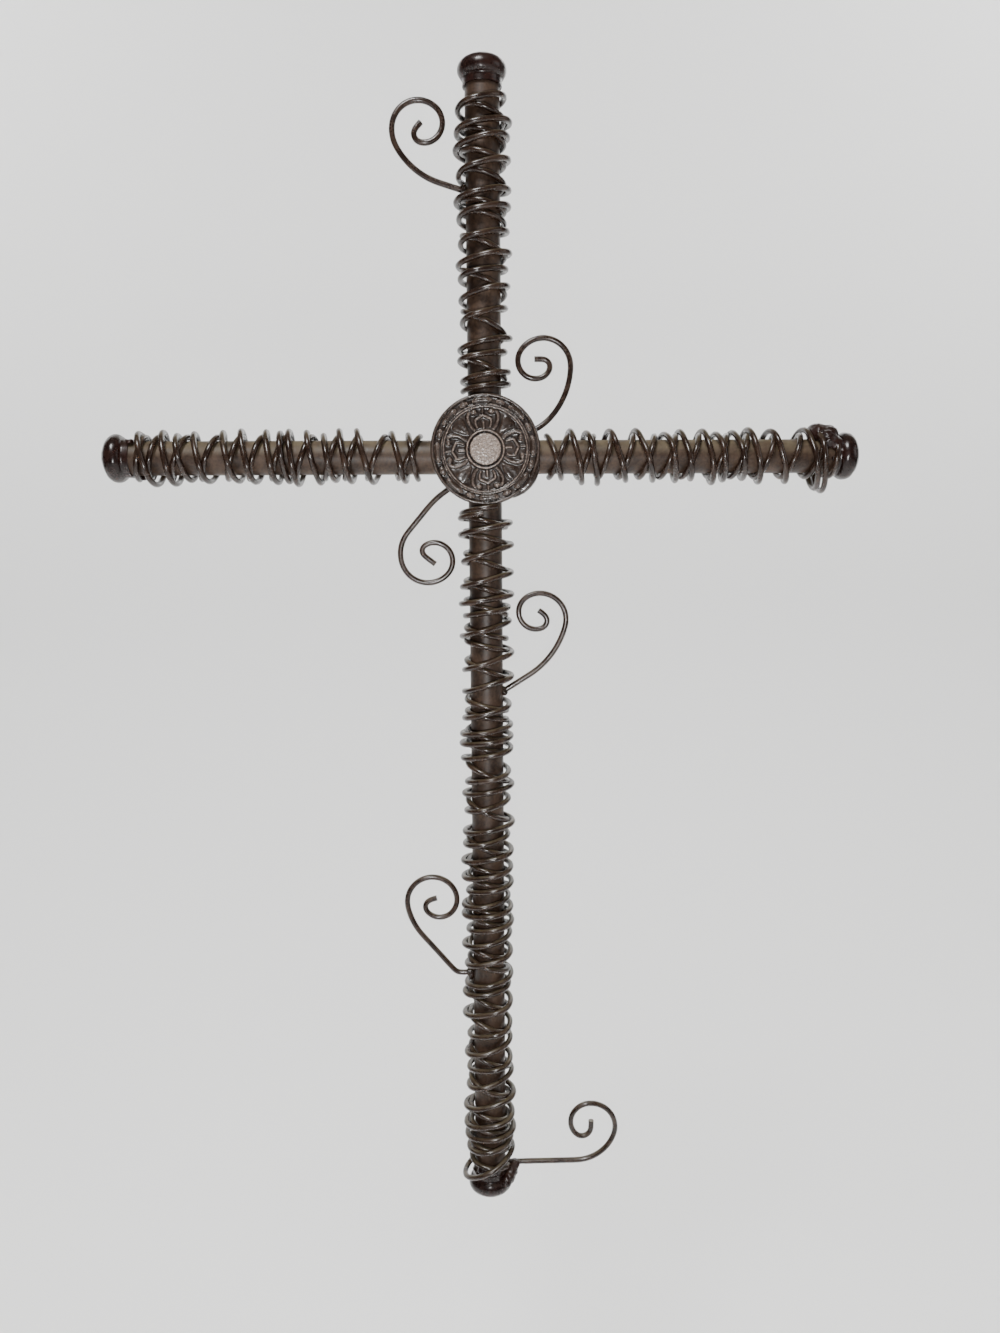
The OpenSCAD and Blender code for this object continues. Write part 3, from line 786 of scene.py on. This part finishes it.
def rimParts():  # long and short beads in the channel, and a run of weld on the edge
    parts = []
    pitch = 360 / medal["pairs"]
    for k in range(medal["pairs"]):
        middle = 90 + pitch * k
        half = medal["longBead"] / 2
        arcPoints = ring(medal["channelR"], 4.15, middle - half, middle + half, 10)
        parts.append(sweep(arcPoints, [0.8, 1.5] + [1.75] * 7 + [1.5, 0.8]))
        middle += pitch / 2
        half = medal["shortBead"] / 2
        arcPoints = ring(medal["channelR"], 4.05, middle - half, middle + half, 4)
        parts.append(sweep(arcPoints, [0.8, 1.45, 1.65, 1.45, 0.8]))
    swell = [0.5 + edgeWeld["thick"] * math.sin(math.pi * i / 14) for i in range(15)]
    parts.append(sweep(ring(medalR - 0.1, 2.4, edgeWeld["start"], edgeWeld["end"], 14), swell))
    for turn, size in edgeWeld["drops"]:
        at = ring(medalR + 0.6, 2.4, turn, turn, 1)[0]
        parts.append(lump(at, (size, size * 0.8, 1.2), 0.3, size, 3))
    return parts


def roughen(shape):  # the casting's uneven skin, and the hammered boss
    for vert in shape.verts:
        at = vert.co / mm
        push = 0.06 * noise.noise(at * 0.5)
        if at.z > 3.0:
            push += 0.05 * noise.noise(at * 1.7)
        if math.hypot(at.x, at.y) < medal["bossR"] and at.z > 4.4:
            push += 0.2 * noise.noise(at * 1.1) + 0.16 * noise.noise(at * 2.3)
        vert.co += vert.normal * push * mm
    shape.normal_update()


def markWearAndPaintedLight(shape):  # attributes for the material: raised tops with paint wear and a painted highlight, hollows darkened as painted shade, and the bare boss
    layers = {name: shape.verts.layers.float.new(name) for name in ("rub_and_highlight", "hollow_shade", "boss")}
    bend = {}
    for vert in shape.verts:
        middle = sum((e.other_vert(vert).co for e in vert.link_edges), Vector()) / len(vert.link_edges)
        bend[vert.index] = (vert.co - middle).dot(vert.normal) / mm
    for _ in range(2):
        bend = {v.index: (bend[v.index] + sum(bend[e.other_vert(v).index] for e in v.link_edges)
                          / len(v.link_edges)) / 2 for v in shape.verts}
    for vert in shape.verts:
        at = vert.co / mm
        b = bend[vert.index]
        r = math.hypot(at.x, at.y)
        front = 1.0 if at.z > 2.4 else 0.0
        inBoss = front if r < medal["bossR"] - 0.2 and at.z > 4.6 else 0.0
        # lighter convex tops: paint wear, and also a painted highlight on the ridges and beads
        wornAndHighlit = max(0.0, min(1.0, (b - 0.009) / 0.024)) * (0.62 + 0.5 * noise.noise(at * 0.7))
        rolled = 0.3 if r > medal["edgeFrom"] else 1.0
        vert[layers["rub_and_highlight"]] = front * wornAndHighlit * rolled
        # darker concave hollows: painted shade
        vert[layers["hollow_shade"]] = front * max(0.0, min(1.0, (-b - 0.006) / 0.03)) * 0.9
        vert[layers["boss"]] = inBoss * (0.75 + 0.5 * noise.noise(at * 1.6))


def makeMedallion():
    disc = bmesh.new()  # made lying on its back, with its front towards +Z
    points = [disc.verts.new((r * mm, 0, w * mm)) for r, w in medalProfile()]
    edges = [disc.edges.new(pair) for pair in zip(points, points[1:])]
    bmesh.ops.spin(disc, geom=points + edges, cent=(0, 0, 0), axis=(0, 0, 1), angle=math.tau,
                   steps=medal["steps"], use_merge=True)
    bmesh.ops.remove_doubles(disc, verts=disc.verts, dist=mm * 0.002)
    bmesh.ops.recalc_face_normals(disc, faces=disc.faces)
    parts = [disc] + rimParts()
    apart = 360 / medal["petals"]
    for k in range(medal["petals"]):
        parts.append(flowerPart(apart * k))
        parts.append(leafPart(apart * (k + 0.5)))
    shape = fused(parts, "medalBlank", medal["voxel"], medal["softening"])
    roughen(shape)
    markWearAndPaintedLight(shape)
    matrix = Matrix.Translation(Vector((0, medalBack, medalLift)) * mm)
    matrix = matrix @ Matrix.Rotation(math.pi / 2, 4, "X")
    matrix = matrix @ Matrix.Rotation(math.radians(medal["turn"]), 4, "Z")
    bmesh.ops.transform(shape, matrix=matrix, verts=shape.verts)
    print("medallion faces", len(shape.faces))
    finishPiece("medallion_cast", toMesh(shape, "medallion_cast", 180), "medallion_paint", "medallion",
                material=paintedMetal("medallion_paint", True))


makeMedallion()
print("medallion cast")


# The frame's own tubes and strap keep their shape
for name, slot in (("shaft_tube", "tube_paint"), ("arm_tube_left", "tube_paint"),
                   ("arm_tube_right", "tube_paint"), ("hanging_strap", "strap_steel")):
    node = frame["nodes"][name]
    node.data.materials.clear()
    node.data.materials.append(materials[slot])
print("tubes and strap painted")


stage = {"floor": -900.0, "wall": 1700.0, "half": 3200.0, "front": -2600, "top": 2600, "curve": 700.0,
         "colour": (0.80, 0.80, 0.79), "rough": 0.9, "specular": 0.1}


def makeSweep():  # a pale floor that curves up into a backdrop
    back = stage["wall"]
    sheet = bmesh.new()
    line = [(stage["front"], stage["floor"])]
    line += arc(back - stage["curve"], stage["floor"] + stage["curve"], stage["curve"], -90, 0, 24)
    line += [(back, stage["top"])]
    verts = [sheet.verts.new((-stage["half"] * mm, y * mm, z * mm)) for y, z in line]
    edges = [sheet.edges.new(pair) for pair in zip(verts, verts[1:])]
    grown = bmesh.ops.extrude_edge_only(sheet, edges=edges)
    far = [g for g in grown["geom"] if isinstance(g, bmesh.types.BMVert)]
    bmesh.ops.translate(sheet, vec=(2 * stage["half"] * mm, 0, 0), verts=far)
    bmesh.ops.recalc_face_normals(sheet, faces=sheet.faces)
    floor = bpy.data.objects.new("floor", toMesh(sheet, "floor", 60))
    bpy.context.scene.collection.objects.link(floor)
    paper = bpy.data.materials.new("paper")
    paper.use_nodes = True
    shader = paper.node_tree.nodes["Principled BSDF"]
    shader.inputs["Base Color"].default_value = (*stage["colour"], 1)
    shader.inputs["Roughness"].default_value = stage["rough"]
    shader.inputs["Specular IOR Level"].default_value = stage["specular"]
    floor.data.materials.append(paper)
    bpy.data.collections.new("backdrop").objects.link(floor)


lamps = {  # place, what it looks at, size in metres, watts, and what it lights if not everything
    "key": ((-0.25, -0.75, 0.95), (0, 0, -0.1), 0.35, 15, None),
    "front": ((-0.03, -0.62, -0.15), (0, 0, -0.1), 0.035, 2.4, None),
    "side": ((1.7, -0.6, 0.4), (0, 0, -0.1), 1.0, 4, None),
    "behind": ((0.5, 1.45, 0.9), (0, 0, -0.1), 1.2, 7, "crossParts"),
    "wallLeft": ((-1.9, 0.3, 1.7), (-0.3, 1.7, -0.1), 1.4, 80, "backdrop"),
    "wallRight": ((1.9, 0.3, 1.7), (0.3, 1.7, -0.1), 1.4, 80, "backdrop"),
}


def softLight(name):
    at, towards, size, power, only = lamps[name]
    lamp = bpy.data.lights.new(name, "AREA")
    lamp.shape = "SQUARE"
    lamp.size = size
    lamp.energy = power
    holder = bpy.data.objects.new(name, lamp)
    bpy.context.scene.collection.objects.link(holder)
    holder.location = at
    holder.rotation_euler = (Vector(towards) - Vector(at)).to_track_quat("-Z", "Y").to_euler()
    if only:
        holder.light_linking.receiver_collection = bpy.data.collections[only]


sky = {"colour": (0.86, 0.88, 0.9), "light": 0.12, "seen": 0.72}  # dimmer as a light than as a backdrop


def makeSky():
    world = bpy.data.worlds.new("world")
    world.use_nodes = True
    tree = world.node_tree
    back = tree.nodes["Background"]
    back.inputs["Color"].default_value = (*sky["colour"], 1)
    eye = tree.nodes.new("ShaderNodeLightPath").outputs["Is Camera Ray"]
    tree.links.new(mapRange(tree, eye, 0.0, 1.0, sky["light"], sky["seen"]), back.inputs["Strength"])
    bpy.context.scene.world = world


camera = {"at": (-12.4, -595.2, -40.5), "pitch": -7.8, "yaw": 2.0, "roll": 0.36, "lens": 27.03,
          "sensor": 36.0, "nearest": 0.01}


def makeCamera():
    data = bpy.data.cameras.new("camera")
    data.sensor_fit = "AUTO"
    data.sensor_width = camera["sensor"]
    data.lens = camera["lens"]
    data.clip_start = camera["nearest"]
    holder = bpy.data.objects.new("camera", data)
    bpy.context.scene.collection.objects.link(holder)
    yaw, pitch = math.radians(camera["yaw"]), math.radians(camera["pitch"])
    ahead = Vector((math.sin(yaw) * math.cos(pitch), math.cos(yaw) * math.cos(pitch), math.sin(pitch)))
    aim = ahead.to_track_quat("-Z", "Y")
    roll = Matrix.Rotation(math.radians(camera["roll"]), 3, ahead)
    holder.rotation_euler = (roll @ aim.to_matrix()).to_euler()
    holder.location = Vector(camera["at"]) * mm
    bpy.context.scene.camera = holder


crossParts = bpy.data.collections.new("crossParts")
for thing in bpy.context.scene.objects:
    if thing.type == "MESH":
        crossParts.objects.link(thing)
makeSweep()
for name in lamps:
    softLight(name)
makeSky()
makeCamera()
print("stage set")
